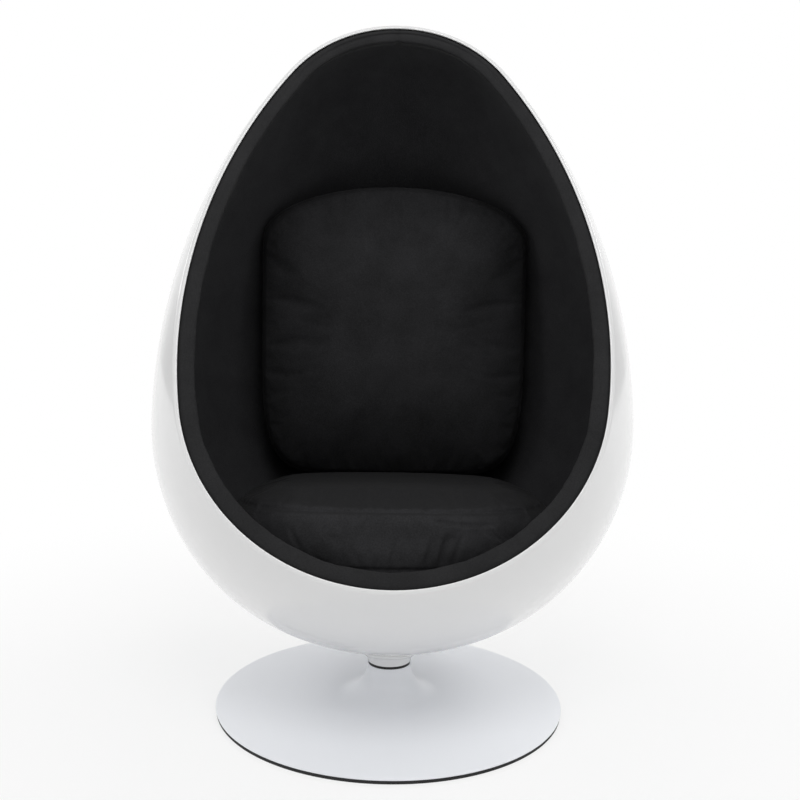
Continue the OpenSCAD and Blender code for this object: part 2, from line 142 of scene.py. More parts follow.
# Surround: plain white to the camera. What it lights is dimmer, in the gloss it has darker
# wings at the sides, and both are dimmer in front, where the studio's dark room lies.
world = bpy.data.worlds.new("white_surround")
bpy.context.scene.world = world
world.use_nodes = True
tree = world.node_tree
path = add_node(tree, "ShaderNodeLightPath")
way = add_node(tree, "ShaderNodeSeparateXYZ", {
    0: add_node(tree, "ShaderNodeTexCoord").outputs["Generated"]})
aside = add_node(tree, "ShaderNodeMath", {0: way.outputs["X"]}, operation="ABSOLUTE")
wings = add_node(tree, "ShaderNodeMapRange", {
    "Value": aside.outputs[0], "From Min": wing_from, "From Max": wing_to,
    "To Min": 1.0, "To Max": wing_strength}, interpolation_type="SMOOTHSTEP")
room = add_node(tree, "ShaderNodeMapRange", {
    "Value": way.outputs["Y"], "From Min": room_from, "From Max": room_to,
    "To Min": room_share, "To Max": 1.0}, interpolation_type="SMOOTHSTEP")
dim = add_node(tree, "ShaderNodeMapRange", {
    "Value": path.outputs["Is Glossy Ray"], "To Min": surround_strength,
    "To Max": wings.outputs[0]})
dim = add_node(
    tree, "ShaderNodeMath", {0: dim.outputs[0], 1: room.outputs[0]}, operation="MULTIPLY")
seen = add_node(
    tree, "ShaderNodeMath",
    {0: path.outputs["Is Camera Ray"], 1: path.outputs["Is Transmission Ray"]},
    operation="MAXIMUM")
strength = add_node(tree, "ShaderNodeMapRange", {
    "Value": seen.outputs[0], "To Min": dim.outputs[0], "To Max": 1.0})
tree.nodes["Background"].inputs["Color"].default_value = surround_white
tree.links.new(strength.outputs[0], tree.nodes["Background"].inputs["Strength"])


# Lights: five large soft boxes. One at each side lifts the shell's sides and the cushions, a
# high one in front brightens the shell's lip and the base, and two behind light the base.
def soft_box(name, place, aim, width, height, watts):
    """Adds a rectangular light at a place, turned to the point that it aims at."""
    data = bpy.data.lights.new(name, "AREA")
    data.shape = "RECTANGLE"
    data.size = width
    data.size_y = height
    data.energy = watts
    lamp = bpy.data.objects.new(name, data)
    bpy.context.scene.collection.objects.link(lamp)
    lamp.location = place
    lamp.rotation_euler = (Vector(aim) - Vector(place)).to_track_quat("-Z", "Y").to_euler()


soft_box("left_box", (-2.4, -1.6, 1.5), (0, 0, 0.7), width=1.2, height=1.8, watts=7)
soft_box("right_box", (2.5, -1.4, 1.3), (0, 0, 0.6), width=0.8, height=2.0, watts=6)
soft_box("front_top_box", (0.1, -1.55, 2.8), (0, 0, 0.2), width=1.2, height=1.2, watts=16)
soft_box("left_rear_box", (-2.4, 1.5, 1.7), (0, 0, 0.1), width=1.3, height=1.3, watts=11)
soft_box("right_rear_box", (2.2, 1.3, 1.9), (0, 0, 0.1), width=1.3, height=1.3, watts=15)


# Shell: glass-fibre reinforced polyester, laid up in a polished mould with a white gel coat.
# It is an egg of four tangent arcs turned about its axis, leaned back and cut by a plane.
shell_low, shell_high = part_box("shell")
waist_r = (shell_high.x - shell_low.x) / 2
waist_z = 0.4944
low_spread = 0.0625
high_spread = 0.75
low_join = (0.352, 0.936)
high_join = (0.8, 0.6)
lean = math.radians(13.9)
opening_front = 0.2488
opening_tilt = math.radians(12.6)
shell_wall = 0.006
rim_round = 0.0024
gel_white = linear("ededed")

# Two arcs that meet have their middles a spread apart, on a line in the join's direction.
low_x = low_join[0] * low_spread
low_r = waist_r - low_x
bottom_r = low_r + low_spread
bottom_z = waist_z + low_join[1] * low_spread
pole_z = bottom_z - bottom_r
high_x = -high_join[0] * high_spread
high_r = waist_r - high_x
top_r = high_r - high_spread
top_z = waist_z + high_join[1] * high_spread

leaned = (
    Matrix.Translation((0, 0, pole_z)) @ Matrix.Rotation(-lean, 4, "X")
    @ Matrix.Translation((0, 0, -pole_z)))
opening = (
    leaned @ Matrix.Translation((0, -opening_front, waist_z))
    @ Matrix.Rotation(-opening_tilt, 4, "X"))
upright = np.array(leaned.inverted())
opening_x, opening_y, opening_z = (np.array(opening.col[i][:3]) for i in range(3))
bowl_hub = np.array(Vector((0, 0.07, 0.56)))
rim_hub = bowl_hub - (bowl_hub - np.array(opening.translation)) @ opening_y * opening_y
farthest = 2.0
halvings = 34


def through(matrix, points):
    """Points taken through a 4 by 4 matrix."""
    return points @ matrix[:3, :3].T + matrix[:3, 3]


def inset_of(points):
    """Distance of each point inside the egg's outer surface."""
    local = through(upright, points)
    z = local[..., 2]
    r = np.hypot(local[..., 0], local[..., 1])
    bottom = bottom_r - np.hypot(r, z - bottom_z)
    low = low_r - np.hypot(r - low_x, z - waist_z)
    high = high_r - np.hypot(r - high_x, z - waist_z)
    top = top_r - np.hypot(r, z - top_z)
    in_bottom = (z < bottom_z) & (r * low_join[1] < (bottom_z - z) * low_join[0])
    in_top = (z > top_z) & (r * high_join[1] < (z - top_z) * high_join[0])
    below = np.where(in_bottom, bottom, low)
    return np.where(z < waist_z, below, np.where(in_top, top, high))


def egg_room(points, inset):
    """Room left to the egg's outer surface less an inset."""
    return inset_of(points) - inset


def reach(start, way, room):
    """Walks from start along way to where room, a function of points, falls to zero."""
    near = np.zeros(way.shape[:-1])
    far = np.full(way.shape[:-1], farthest)
    for _ in range(halvings):
        middle = (near + far) / 2
        inside = room(start + way * middle[..., None]) > 0
        near = np.where(inside, middle, near)
        far = np.where(inside, far, middle)
    return start + way * near[..., None]


def spoke(angle):
    """Direction from the opening's middle to its rim, at an angle counted from +X."""
    return np.cos(angle)[..., None] * opening_x + np.sin(angle)[..., None] * opening_z


def rim_points(angle, inset, depth, room=egg_room):
    """Points round the opening, at a depth behind its plane, where room falls to zero."""
    start = rim_hub + np.multiply.outer(depth, opening_y)
    return reach(start, spoke(angle), lambda points: room(points, inset))


def bowl_points(angle, inset, depth, share, room=egg_room):
    """Points from the rim at a depth, share 0, to the back of the egg, share 1."""
    rim = rim_points(angle, inset, depth, room) - bowl_hub
    to_rim = np.arccos(np.clip(rim @ opening_y / np.linalg.norm(rim, axis=-1), -1, 1))
    swing = to_rim * (1 - share)
    way = np.cos(swing)[..., None] * opening_y + np.sin(swing)[..., None] * spoke(angle)
    return reach(bowl_hub, way, lambda points: room(points, inset))


def read_points(piece, kind="co"):
    """The places of a piece's vertices as rows, or with kind "normal" their normals."""
    flat = np.empty(len(piece.data.vertices) * 3)
    piece.data.vertices.foreach_get(kind, flat)
    return flat.reshape(-1, 3)


def write_points(piece, points):
    """Moves a piece's vertices to the rows of points."""
    piece.data.vertices.foreach_set("co", points.ravel())
    piece.data.update()


def closed_up(name, merge_gap=1e-6):
    """Names the piece in hand, merges vertices that meet, and turns its faces outwards."""
    piece = bpy.context.object
    piece.name = name
    bpy.ops.object.mode_set(mode="EDIT")
    bpy.ops.mesh.select_all(action="SELECT")
    bpy.ops.mesh.remove_doubles(threshold=merge_gap)
    bpy.ops.mesh.normals_make_consistent(inside=False)
    bpy.ops.object.mode_set(mode="OBJECT")
    bpy.ops.object.shade_smooth()
    return piece


def ball_of_rows(name, around, rows, shape):
    """Adds a sphere and moves each vertex to shape(angle, row). The first and the last row
    are its poles."""
    bpy.ops.object.select_all(action="DESELECT")
    bpy.ops.mesh.primitive_uv_sphere_add(segments=around, ring_count=rows, radius=1)
    start = read_points(bpy.context.object)
    row = np.rint(np.arccos(np.clip(start[:, 2], -1, 1)) / math.pi * rows).astype(int)
    angle = np.arctan2(start[:, 1], start[:, 0])
    write_points(bpy.context.object, shape(angle, row))
    return closed_up(name)


def double_wall(name, around, outer_rows, inner_rows, outer, inner, rim, room=egg_room):
    """Closed skin of two walls with a rim between them. Outer and inner are (inset, depth),
    and rim is a list of such pairs that leads from one to the other. Rows crowd to the rim."""
    crowding = 1.15
    table = [(*outer, (1 - i / outer_rows) ** crowding) for i in range(outer_rows + 1)]
    table += [(*pair, 0.0) for pair in rim]
    table += [(*inner, (i / inner_rows) ** crowding) for i in range(inner_rows + 1)]
    table = np.array(table)

    def shape(angle, row):
        inset, depth, share = table[row].T
        return bowl_points(angle, inset, depth, share, room)
    return ball_of_rows(name, around, len(table) - 1, shape)


rim_steps = 5
turns = [i * math.pi / 2 / rim_steps for i in range(1, rim_steps)]
shell_rim = [(rim_round * (1 - math.cos(t)), rim_round * (1 - math.sin(t))) for t in turns]
shell_rim += [(rim_round, 0.0), (shell_wall - rim_round, 0.0)]
shell_rim += [(shell_wall - rim_round * (1 - math.sin(t)), rim_round * (1 - math.cos(t)))
              for t in turns]
shell = double_wall(
    "shell_skin", around=256, outer_rows=150, inner_rows=60,
    outer=(0.0, rim_round), inner=(shell_wall, rim_round), rim=shell_rim)

# Polished gel coat: a hard clear gloss over an even white, with the long waves that a
# hand-laid moulding leaves in its reflections and a hazier patch here and there. Its fine
# peel is under a millimetre wide on the real one, and drawn coarser to show.
wave_mm = 200
haze_mm = 110
peel_mm = 4
gel_coat, tree, shader = new_material(
    "gel_coat_over_glass_fibre", Base_Color=gel_white, Roughness=0.16, IOR=1.53,
    Coat_Weight=0.5, Coat_Roughness=0.05)
place = add_node(tree, "ShaderNodeTexCoord").outputs["Object"]
waves = add_node(tree, "ShaderNodeTexNoise", {
    "Vector": place, "Scale": 1000 / wave_mm, "Detail": 1.0})
long_bump = add_node(tree, "ShaderNodeBump", {
    "Height": waves.outputs["Fac"], "Strength": 0.12, "Distance": 0.004})
peel = add_node(tree, "ShaderNodeTexNoise", {
    "Vector": place, "Scale": 1000 / peel_mm, "Detail": 2.0})
fine_bump = add_node(tree, "ShaderNodeBump", {
    "Height": peel.outputs["Fac"], "Strength": 0.05, "Distance": 0.0004,
    "Normal": long_bump.outputs[0]})
tree.links.new(fine_bump.outputs[0], shader.inputs["Normal"])
haze = add_node(tree, "ShaderNodeTexNoise", {
    "Vector": place, "Scale": 1000 / haze_mm, "Detail": 5.0})
rough = add_node(tree, "ShaderNodeMapRange", {
    "Value": haze.outputs["Fac"], "To Min": 0.12, "To Max": 0.22})
tree.links.new(rough.outputs[0], shader.inputs["Roughness"])


def finish_piece(piece, material, body, slot, *nodes):
    """Gives a piece its material and body, and hides the CAD nodes that it stands for. The slot is
    not used.
    """
    piece.data.materials.clear()
    piece.data.materials.append(material)
    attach(piece, body)
    if nodes:
        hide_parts(*nodes)


finish_piece(shell, gel_coat, "seat", "shell_white", "shell")


# Edge band: a padded roll of woven fabric over a foam strip, glued inside the rim. Its ends
# meet in a short sewn seam at the top, and a fold runs along its front near there.
band_gap = 0.0003
band_outer = shell_wall + band_gap
band_inner = 0.032
band_depth = 0.044
band_square = 2 / 3.4
seam_r = 0.33
seam_gap_w = 0.0034
seam_gap_sink = 0.0042
fold_inset = 0.0166
fold_sway = 0.0012
fold_w = 0.0019
fold_sink = 0.0034
fold_reach = 0.32
long_pucker = 0.0005
fine_pucker = 0.00022


def ring_of_rows(name, around, loop, shape):
    """Adds a grid, moves each vertex to shape(angle, place in the section from 0 to 1), and
    joins the grid's edges to a ring."""
    bpy.ops.object.select_all(action="DESELECT")
    bpy.ops.mesh.primitive_grid_add(x_subdivisions=around, y_subdivisions=loop, size=1)
    start = read_points(bpy.context.object) + 0.5
    write_points(bpy.context.object, shape(start[:, 0] * 2 * math.pi, start[:, 1] % 1))
    return closed_up(name)


def ripple(along, waves, seed):
    """Sum of sines with set wave numbers and seeded phases, between about -1 and 1."""
    phases = np.random.default_rng(seed).uniform(0, 2 * math.pi, len(waves))
    return sum(np.sin(n * along + f) for n, f in zip(waves, phases)) / len(waves) ** 0.5


def bell(distance, width):
    """Smooth bump that is 1 at no distance and dies away over a width."""
    return np.exp(-(distance / width) ** 2)


def band_shape(angle, place):
    """Rounded square section, with the seam, the fold and puckers sunk into its free sides."""
    turn = place * 2 * math.pi
    across, back = np.cos(turn), np.sin(turn)
    half_w, half_d = (band_inner - band_outer) / 2, band_depth / 2
    inset = band_outer + half_w + half_w * np.sign(across) * abs(across) ** band_square
    depth = half_d + half_d * np.sign(back) * abs(back) ** band_square
    from_top = (angle - math.pi / 2 + math.pi) % (2 * math.pi) - math.pi
    front = np.clip(-back, 0, 1)
    free = np.clip(np.maximum(front, across), 0, 1)
    seam = bell(from_top * seam_r, seam_gap_w) * free
    off_fold = inset - fold_inset - fold_sway * ripple(angle, (3, 5, 8), 4)
    fold = bell(off_fold, fold_w) * front * bell(from_top, fold_reach)
    pucker = (ripple(angle, (61, 83, 107, 139), 7) * fine_pucker
              + ripple(angle, (17, 23, 31), 8) * long_pucker)
    sink = seam_gap_sink * seam + fold_sink * fold + pucker * free
    inset = inset - sink * np.clip(across, 0, 1)
    depth = depth + sink * front
    return rim_points(angle, inset, depth)


band = ring_of_rows("edge_band_roll", around=1000, loop=80, shape=band_shape)


# Wool-blend upholstery cloth: a deep matt black. Its yarns break the light up into small
# grains, handling leaves slightly paler clouds, and the brushed nap gives a faint sheen. Where
# a mesh asks for it, the cloth is drawn darker as painted shade. The yarns are drawn at their
# real spacing. The nap is a tenth of a millimetre on real cloth, and drawn coarser to show.
cloud_mm = 70
nap_mm = 2.4


def upholstery(name, dark, light, weave_mm, sheen):
    """Cloth between two tones, drawn darker as painted shade where a mesh's shade attribute is 1.
    """
    cloth, tree, shader = new_material(
        name, Roughness=0.92, IOR=1.5, Sheen_Weight=sheen, Sheen_Roughness=0.45)
    shader.inputs["Specular IOR Level"].default_value = 0.12
    place = add_node(tree, "ShaderNodeTexCoord").outputs["Object"]
    cloud = add_node(tree, "ShaderNodeTexNoise", {
        "Vector": place, "Scale": 1000 / cloud_mm, "Detail": 4.0, "Roughness": 0.6})
    yarn = add_node(tree, "ShaderNodeTexVoronoi", {"Vector": place, "Scale": 1000 / weave_mm})
    nap = add_node(tree, "ShaderNodeTexNoise", {
        "Vector": place, "Scale": 1000 / nap_mm, "Detail": 3.0})
    tone = add_node(
        tree, "ShaderNodeMath", {0: cloud.outputs["Fac"], 1: nap.outputs["Fac"]},
        operation="ADD")
    tone = add_node(tree, "ShaderNodeMapRange", {
        "Value": tone.outputs[0], "From Min": 0.6, "From Max": 1.4})
    # Painted shade: where the mesh's shade attribute is 1, the tone falls to a tenth.
    top_shade = add_node(tree, "ShaderNodeAttribute", attribute_name="painted_top_shade")
    top_shade = add_node(tree, "ShaderNodeMapRange", {
        "Value": top_shade.outputs["Fac"], "To Min": 1.0, "To Max": 0.1})
    tone = add_node(
        tree, "ShaderNodeMath", {0: tone.outputs[0], 1: top_shade.outputs[0]}, operation="MULTIPLY")
    colour = add_node(
        tree, "ShaderNodeMix", {0: tone.outputs[0], 6: linear(dark), 7: linear(light)},
        data_type="RGBA")
    tree.links.new(colour.outputs[2], shader.inputs["Base Color"])
    yarn_bump = add_node(tree, "ShaderNodeBump", {
        "Height": yarn.outputs["Distance"], "Strength": 0.5, "Distance": 0.0005}, invert=True)
    nap_bump = add_node(tree, "ShaderNodeBump", {
        "Height": nap.outputs["Fac"], "Strength": 0.4, "Distance": 0.0006,
        "Normal": yarn_bump.outputs[0]})
    tree.links.new(nap_bump.outputs[0], shader.inputs["Normal"])
    return cloth


band_cloth = upholstery(
    "black_wool_blend_band", dark="252526", light="323233", weave_mm=1.3, sheen=0.05)
finish_piece(band, band_cloth, "seat", "band_fabric", "edge_band")


# Lining: the same cloth glued over thin foam on the whole cavity and over the foam deck that
# the seat cushion lies on. It is folded over the foam's front edge and tucked behind the
# band, and shows faint pulls where it is stretched over the bowl.
foam_inset = 0.016
lining_inset = 0.018
lining_t = lining_inset - foam_inset
glue_gap = 0.0002
hem_t = 0.0017
hem_depth = band_depth - hem_t
tuck_inset = 0.024
corner_r = 0.02
pull_h = 0.0006
deck_front = -0.190
deck_z = 0.286
deck_slope = math.radians(7)

deck = Matrix.Translation((0, deck_front, deck_z)) @ Matrix.Rotation(-deck_slope, 4, "X")
deck_way = np.array(deck)
to_deck = np.array(deck.inverted())


def pulls(points):
    """Faint uneven waves, a few to the metre, from -1 to 1."""
    x, y, z = points[..., 0], points[..., 1], points[..., 2]
    return np.sin(x * 31 + 2 * np.sin(z * 17)) * np.sin(y * 23 + z * 29)


def lining_room(points, inset):
    """Room left to the bowl's fabric and to the deck's, with a soft corner between them. What
    is tucked in behind the band passes in front of the deck."""
    outside = inset > (foam_inset + lining_inset) / 2
    wall = inset_of(points) - inset
    over_deck = points @ to_deck[2, :3] + to_deck[2, 3] - lining_t * outside
    near = np.clip((corner_r - abs(wall - over_deck)) / corner_r, 0, 1)
    soft = near ** 2 * corner_r / 4 + pull_h * pulls(points)
    both = np.minimum(wall, over_deck) - soft * outside
    return np.where(inset < tuck_inset, both, wall)


lining = double_wall(
    "cavity_lining", around=256, outer_rows=60, inner_rows=120,
    outer=(foam_inset + glue_gap, band_depth + band_gap), inner=(lining_inset, hem_depth),
    rim=[(tuck_inset, band_depth - glue_gap), (tuck_inset, hem_depth)], room=lining_room)
# The lining is given paler tones than the band, though it is the same cloth, as painted light that
# lifts the cavity's shade.
lining_cloth = upholstery(
    "black_wool_blend_lining_painted_paler", dark="323234", light="414143", weave_mm=1.3, sheen=0.08)
finish_piece(lining, lining_cloth, "seat", "lining_fabric", "lining_cover")


# Seat cushion: a foam block in a sewn cover, boxed all round. The cover is blown up as cloth
# from the foam's shape, with its two edge seams held. Use has pressed its top into a shallow
# hollow, let its lower front forward onto the deck, and creased its front.
seat_w = 0.552
seat_d = 0.576
seat_t = 0.104
seat_lift = 0.0052
cover_t = 0.0033
voxel = 0.006
core_merge_gap = 1e-5
seat_squeeze = 0.016
top_seam_share = 0.92
foot_seam_share = 0.07
edge_share = 0.8
seam_hold_w = 0.006
seam_w = 0.003
seam_sink = 0.0025
pressure = 4.0
seat_spare = 0.03
cover_cap = 0.012
cloth_frames = 20
least_hold = 0.02
cover_feel = {
    "quality": 5, "mass": 0.3, "tension_stiffness": 12, "compression_stiffness": 12,
    "shear_stiffness": 4, "bending_stiffness": 0.15, "pin_stiffness": 2.0,
}


def select_only(piece):
    """Selects one piece and makes it the active one."""
    bpy.ops.object.select_all(action="DESELECT")
    piece.select_set(True)
    bpy.context.view_layer.objects.active = piece


def foam_copy(name, node, squeeze):
    """Copies a foam core's shape, a cover's thickness larger, to a mesh of even, small faces,
    and squeezes the core inside it."""
    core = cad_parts[node]
    piece = bpy.data.objects.new(name, core.data.copy())
    bpy.context.scene.collection.objects.link(piece)
    select_only(piece)
    remesh = piece.modifiers.new("even_faces", "REMESH")
    remesh.mode = "VOXEL"
    remesh.voxel_size = voxel
    bpy.ops.object.modifier_apply(modifier=remesh.name)
    bpy.ops.object.mode_set(mode="EDIT")
    bpy.ops.mesh.select_all(action="SELECT")
    bpy.ops.mesh.vertices_smooth(factor=0.5, repeat=3)
    bpy.ops.transform.shrink_fatten(value=cover_t)
    bpy.ops.object.mode_set(mode="OBJECT")
    core.modifiers.new("joined_faces", "WELD").merge_threshold = core_merge_gap
    squeezed = core.modifiers.new("squeezed_by_its_cover", "DISPLACE")
    squeezed.mid_level = 0
    squeezed.strength = -squeeze
    return piece


def blow_up(piece, held, spare):
    """Runs the piece as cloth under inner pressure. Held gives each vertex's hold from 0 to 1,
    and spare is the cloth's extra length as a share. No vertex moves past the cap."""
    rest = read_points(piece)
    group = piece.vertex_groups.new(name="held")
    for index in np.nonzero(held > least_hold)[0]:
        group.add([int(index)], float(held[index]), "REPLACE")
    cloth = piece.modifiers.new("cloth", "CLOTH")
    for name, value in cover_feel.items():
        setattr(cloth.settings, name, value)
    cloth.settings.use_pressure = True
    cloth.settings.uniform_pressure_force = pressure
    cloth.settings.shrink_min = -spare
    cloth.settings.effector_weights.gravity = 0
    cloth.settings.vertex_group_mass = group.name
    cloth.point_cache.frame_start = 1
    cloth.point_cache.frame_end = cloth_frames
    for number in range(1, cloth_frames + 1):
        bpy.context.scene.frame_set(number)
    select_only(piece)
    bpy.ops.object.modifier_apply(modifier=cloth.name)
    bpy.context.scene.frame_set(1)
    moved = read_points(piece) - rest
    length = np.linalg.norm(moved, axis=1).clip(1e-9)
    write_points(piece, rest + moved * np.minimum(1, cover_cap / length)[:, None])
    piece.vertex_groups.clear()


def subdivide_once(piece):
    """Splits each face in four, rounds the piece off and shades it smooth."""
    select_only(piece)
    modifier = piece.modifiers.new("finer", "SUBSURF")
    modifier.levels = 1
    bpy.ops.object.modifier_apply(modifier=modifier.name)
    bpy.ops.object.shade_smooth()


def seat_seams(points):
    """Distance of each point from the nearer of the cover's two edge seams, in height only,
    and whether it lies near the cushion's edge."""
    local = through(to_deck, points)
    aside = abs(local[:, 0]) / (seat_w / 2)
    along = abs(local[:, 1] - seat_d / 2) / (seat_d / 2)
    up = local[:, 2] - seat_lift
    beside = np.minimum(abs(up - top_seam_share * seat_t), abs(up - foot_seam_share * seat_t))
    return beside, np.maximum(aside, along) > edge_share


hollow_from = 0.085
hollow_fade = 0.02
hollow_depth = 0.011
hollow_front = 0.2
hollow_half_w = 0.3
slump_half_w = 0.12
slump_top = 0.06
slump_back = 0.15
slump_way = 0.022
slump_sag = 0.004
off_deck = 0.0024


def sat_on(local):
    """Presses the top down, less at the front and the sides, and lets the lower front slump
    forward and down to the deck. Places are counted from the deck's front."""
    aside, along, up = local.T
    top = np.clip((up - hollow_from) / hollow_fade, 0, 1)
    sides = (1 - (aside / hollow_half_w) ** 4).clip(0)
    up = up - hollow_depth * top * np.clip(along / hollow_front, 0, 1) * sides
    low = bell(aside, slump_half_w) * np.clip(1 - up / slump_top, 0, 1) * (along < slump_back)
    up = np.where(low > 0, np.maximum(up - slump_sag * low, off_deck), up)
    return np.stack([aside, along - slump_way * low, up], axis=1)


seat = foam_copy("seat_cushion_cover_sewn", "seat_cushion_core", seat_squeeze)
beside, at_edge = seat_seams(read_points(seat))
blow_up(seat, bell(beside, seam_hold_w) * at_edge, seat_spare)
write_points(seat, through(deck_way, sat_on(through(to_deck, read_points(seat)))))
subdivide_once(seat)

crease_bow = 0.0025
crease_lip_share = 0.45
crease_face = 0.12


def crease(local, start, end, depth, width):
    """Depth of a tapered, bowed crease with a raised lip, between two (x, z) places."""
    start, along = np.array(start), np.array(end) - np.array(start)
    length = np.linalg.norm(along)
    offset = local[:, [0, 2]] - start
    share = offset @ along / length ** 2
    aside = (offset[:, 0] * along[1] - offset[:, 1] * along[0]) / length
    aside = aside - crease_bow * np.sin(np.clip(share, 0, 1) * math.pi)
    ends = np.clip(1 - (2 * share - 1) ** 2, 0, 1) ** 0.5
    lip = crease_lip_share * bell(aside - 2 * width, width)
    return depth * ends * (bell(aside, width) - lip) * (local[:, 1] < crease_face)


# Creases of the front face: start and end as (x, z) over the deck, depth and width.
front_creases = (
    ((0.062, 0.088), (0.168, 0.082), 0.0024, 0.0026),
    ((0.142, 0.081), (0.166, 0.058), 0.0022, 0.0022),
    ((0.153, 0.080), (0.179, 0.054), 0.0024, 0.0022),
    ((0.166, 0.079), (0.191, 0.055), 0.0020, 0.0022),
    ((0.178, 0.076), (0.196, 0.060), 0.0016, 0.0020),
    ((0.004, 0.044), (-0.002, -0.002), 0.0026, 0.0032),
    ((0.019, 0.056), (0.022, 0.004), 0.0022, 0.0034),
    ((0.064, 0.062), (0.054, 0.010), 0.0026, 0.0034),
    ((0.090, 0.070), (0.076, 0.014), 0.0030, 0.0040),
    ((0.113, 0.068), (0.098, 0.024), 0.0024, 0.0034),
    ((-0.024, 0.034), (-0.026, 0.000), 0.0018, 0.0028),
    ((-0.120, 0.030), (-0.096, 0.022), 0.0016, 0.0022),
    ((-0.160, 0.076), (-0.142, 0.040), 0.0016, 0.0036),
    ((0.210, 0.070), (0.216, 0.044), 0.0018, 0.0028),
)
points = read_points(seat)
beside, at_edge = seat_seams(points)
sink = seam_sink * bell(beside, seam_w) * at_edge
for start, end, depth, width in front_creases:
    sink = sink + crease(through(to_deck, points), start, end, depth, width)
write_points(seat, points - read_points(seat, "normal") * sink[:, None])

# Painted shade on the top panel: what faces upwards, off the deck, by more than this share is
# drawn darker, towards the cloth's dark tone.
top_shade_from = 0.5
top_shade_fade = 0.35
upward = read_points(seat, "normal") @ deck_way[:3, 2]
top_shade = np.clip((upward - top_shade_from) / top_shade_fade, 0, 1)
seat.data.attributes.new("painted_top_shade", "FLOAT", "POINT").data.foreach_set("value", top_shade)

seat_cloth = upholstery(
    "black_wool_blend_cushion", dark="272728", light="3a3a3c", weave_mm=1.5, sheen=0.02)
finish_piece(seat, seat_cloth, "seat", "cushion_fabric", "seat_cushion_cover")


# Back cushion: a thinner, softer cushion of the same make with an arched top, crowned to
# both sides and closed by a zip in its foot. It stands on the seat and leans on the lining.
back_w = 0.534
back_t = 0.036
back_side_h = 0.470
back_arch_h = 0.104
back_foot_y = 0.328
back_foot_z = 0.3483
back_lean = math.radians(86)
back_squeeze = 0.008
back_spare = 0.012
back_seam_share = 0.42
back_edge_share = 0.9
foot_h = 0.09
foot_drop = 0.010

back_way = (
    Matrix.Translation((0, back_foot_y, back_foot_z)) @ Matrix.Rotation(back_lean, 4, "X"))
to_back = np.array(back_way.inverted())


def back_seams(points):
    """Distance of each point from the nearer edge seam, across the cushion's thickness, and
    whether it lies near the cushion's outline."""
    x, y, across = through(to_back, points).T
    arch = np.hypot(x / (back_w / 2), (y - back_side_h) / back_arch_h)
    foot = np.maximum(abs(x) / (back_w / 2), (back_side_h - y) / back_side_h)
    at_edge = np.where(y > back_side_h, arch, foot) > back_edge_share
    seam = back_seam_share * back_t
    return np.minimum(abs(across - seam), abs(across + seam)), at_edge


back = foam_copy("back_cushion_cover_sewn", "back_cushion_core", back_squeeze)
beside, at_edge = back_seams(read_points(back))
blow_up(back, bell(beside, seam_hold_w) * at_edge, back_spare)
subdivide_once(back)
points = read_points(back)
up = points @ to_back[1, :3] + to_back[1, 3]
points[:, 2] -= foot_drop * np.clip(1 - up / foot_h, 0, 1)
beside, at_edge = back_seams(points)
sink = seam_sink * bell(beside, seam_w) * at_edge
write_points(back, points - read_points(back, "normal") * sink[:, None])
finish_piece(back, seat_cloth, "seat", "cushion_fabric", "back_cushion_cover")


# Base cover: spun and pressed steel sheet in a smooth satin powder coat. Its face rises
# gently from a turned-down edge to a round fillet up the neck, like the bell of a trumpet.
cover_low, cover_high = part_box("base_cover")
base_r = cover_high.x
neck_r = 0.038
neck_z = cover_high.z
edge_z = 0.0082
face_slope = 0.045
sheet_t = 0.0015
skirt_t = 0.0013
edge_round = 0.0012
skirt_round = 0.0003
lip_w = 0.0005
lip_h = 0.0006
neck_turn = 0.03
foot_turn = 0.05
face_steps = 14
fillet_steps = 40
fillet_back_steps = 30

rise = neck_z - edge_z - face_slope * (base_r - neck_r)
slope_turn = math.atan(face_slope)
flare_r = rise / (1 / math.cos(slope_turn) - face_slope)
flare_x = neck_r + flare_r
foot_x = flare_x - flare_r * math.sin(slope_turn)
foot_z = neck_z - flare_r * math.cos(slope_turn)
face_w = base_r - foot_x


def rounded(corners, steps):
    """Closed section from (r, z, rounding radius) corners, each rounded by an arc."""
    points = []
    for i, (x, z, radius) in enumerate(corners):
        here = np.array((x, z))
        if radius == 0:
            points.append(here)
            continue
        to_last = np.array(corners[i - 1][:2]) - here
        to_next = np.array(corners[(i + 1) % len(corners)][:2]) - here
        to_last, to_next = to_last / np.linalg.norm(to_last), to_next / np.linalg.norm(to_next)
        half = math.acos(max(-1, min(1, float(to_last @ to_next)))) / 2
        middle = (to_last + to_next) / np.linalg.norm(to_last + to_next)
        centre = here + middle * radius / math.sin(half)
        first = here + to_last * radius / math.tan(half) - centre
        last = here + to_next * radius / math.tan(half) - centre
        sweep = math.pi - 2 * half
        for k in range(steps + 1):
            before, after = math.sin((1 - k / steps) * sweep), math.sin(k / steps * sweep)
            points.append(centre + (first * before + last * after) / math.sin(sweep))
    return np.array(points)


def lathed(name, steps, section):
    """Shapes a circle to a closed (r, z) section and spins it about Z."""
    bpy.ops.object.select_all(action="DESELECT")
    bpy.ops.mesh.primitive_circle_add(vertices=len(section), radius=1)
    r, z = section.T
    write_points(bpy.context.object, np.stack([r, 0 * r, z], axis=1))
    bpy.ops.object.mode_set(mode="EDIT")
    bpy.ops.mesh.select_all(action="SELECT")
    bpy.ops.mesh.spin(steps=steps, angle=2 * math.pi, center=(0, 0, 0), axis=(0, 0, 1))
    bpy.ops.object.mode_set(mode="OBJECT")
    return closed_up(name)


def fillet(radius, turns):
    """Points of the neck's fillet at a radius about its middle."""
    return [(flare_x - radius * math.cos(t), neck_z - radius * math.sin(t)) for t in turns]


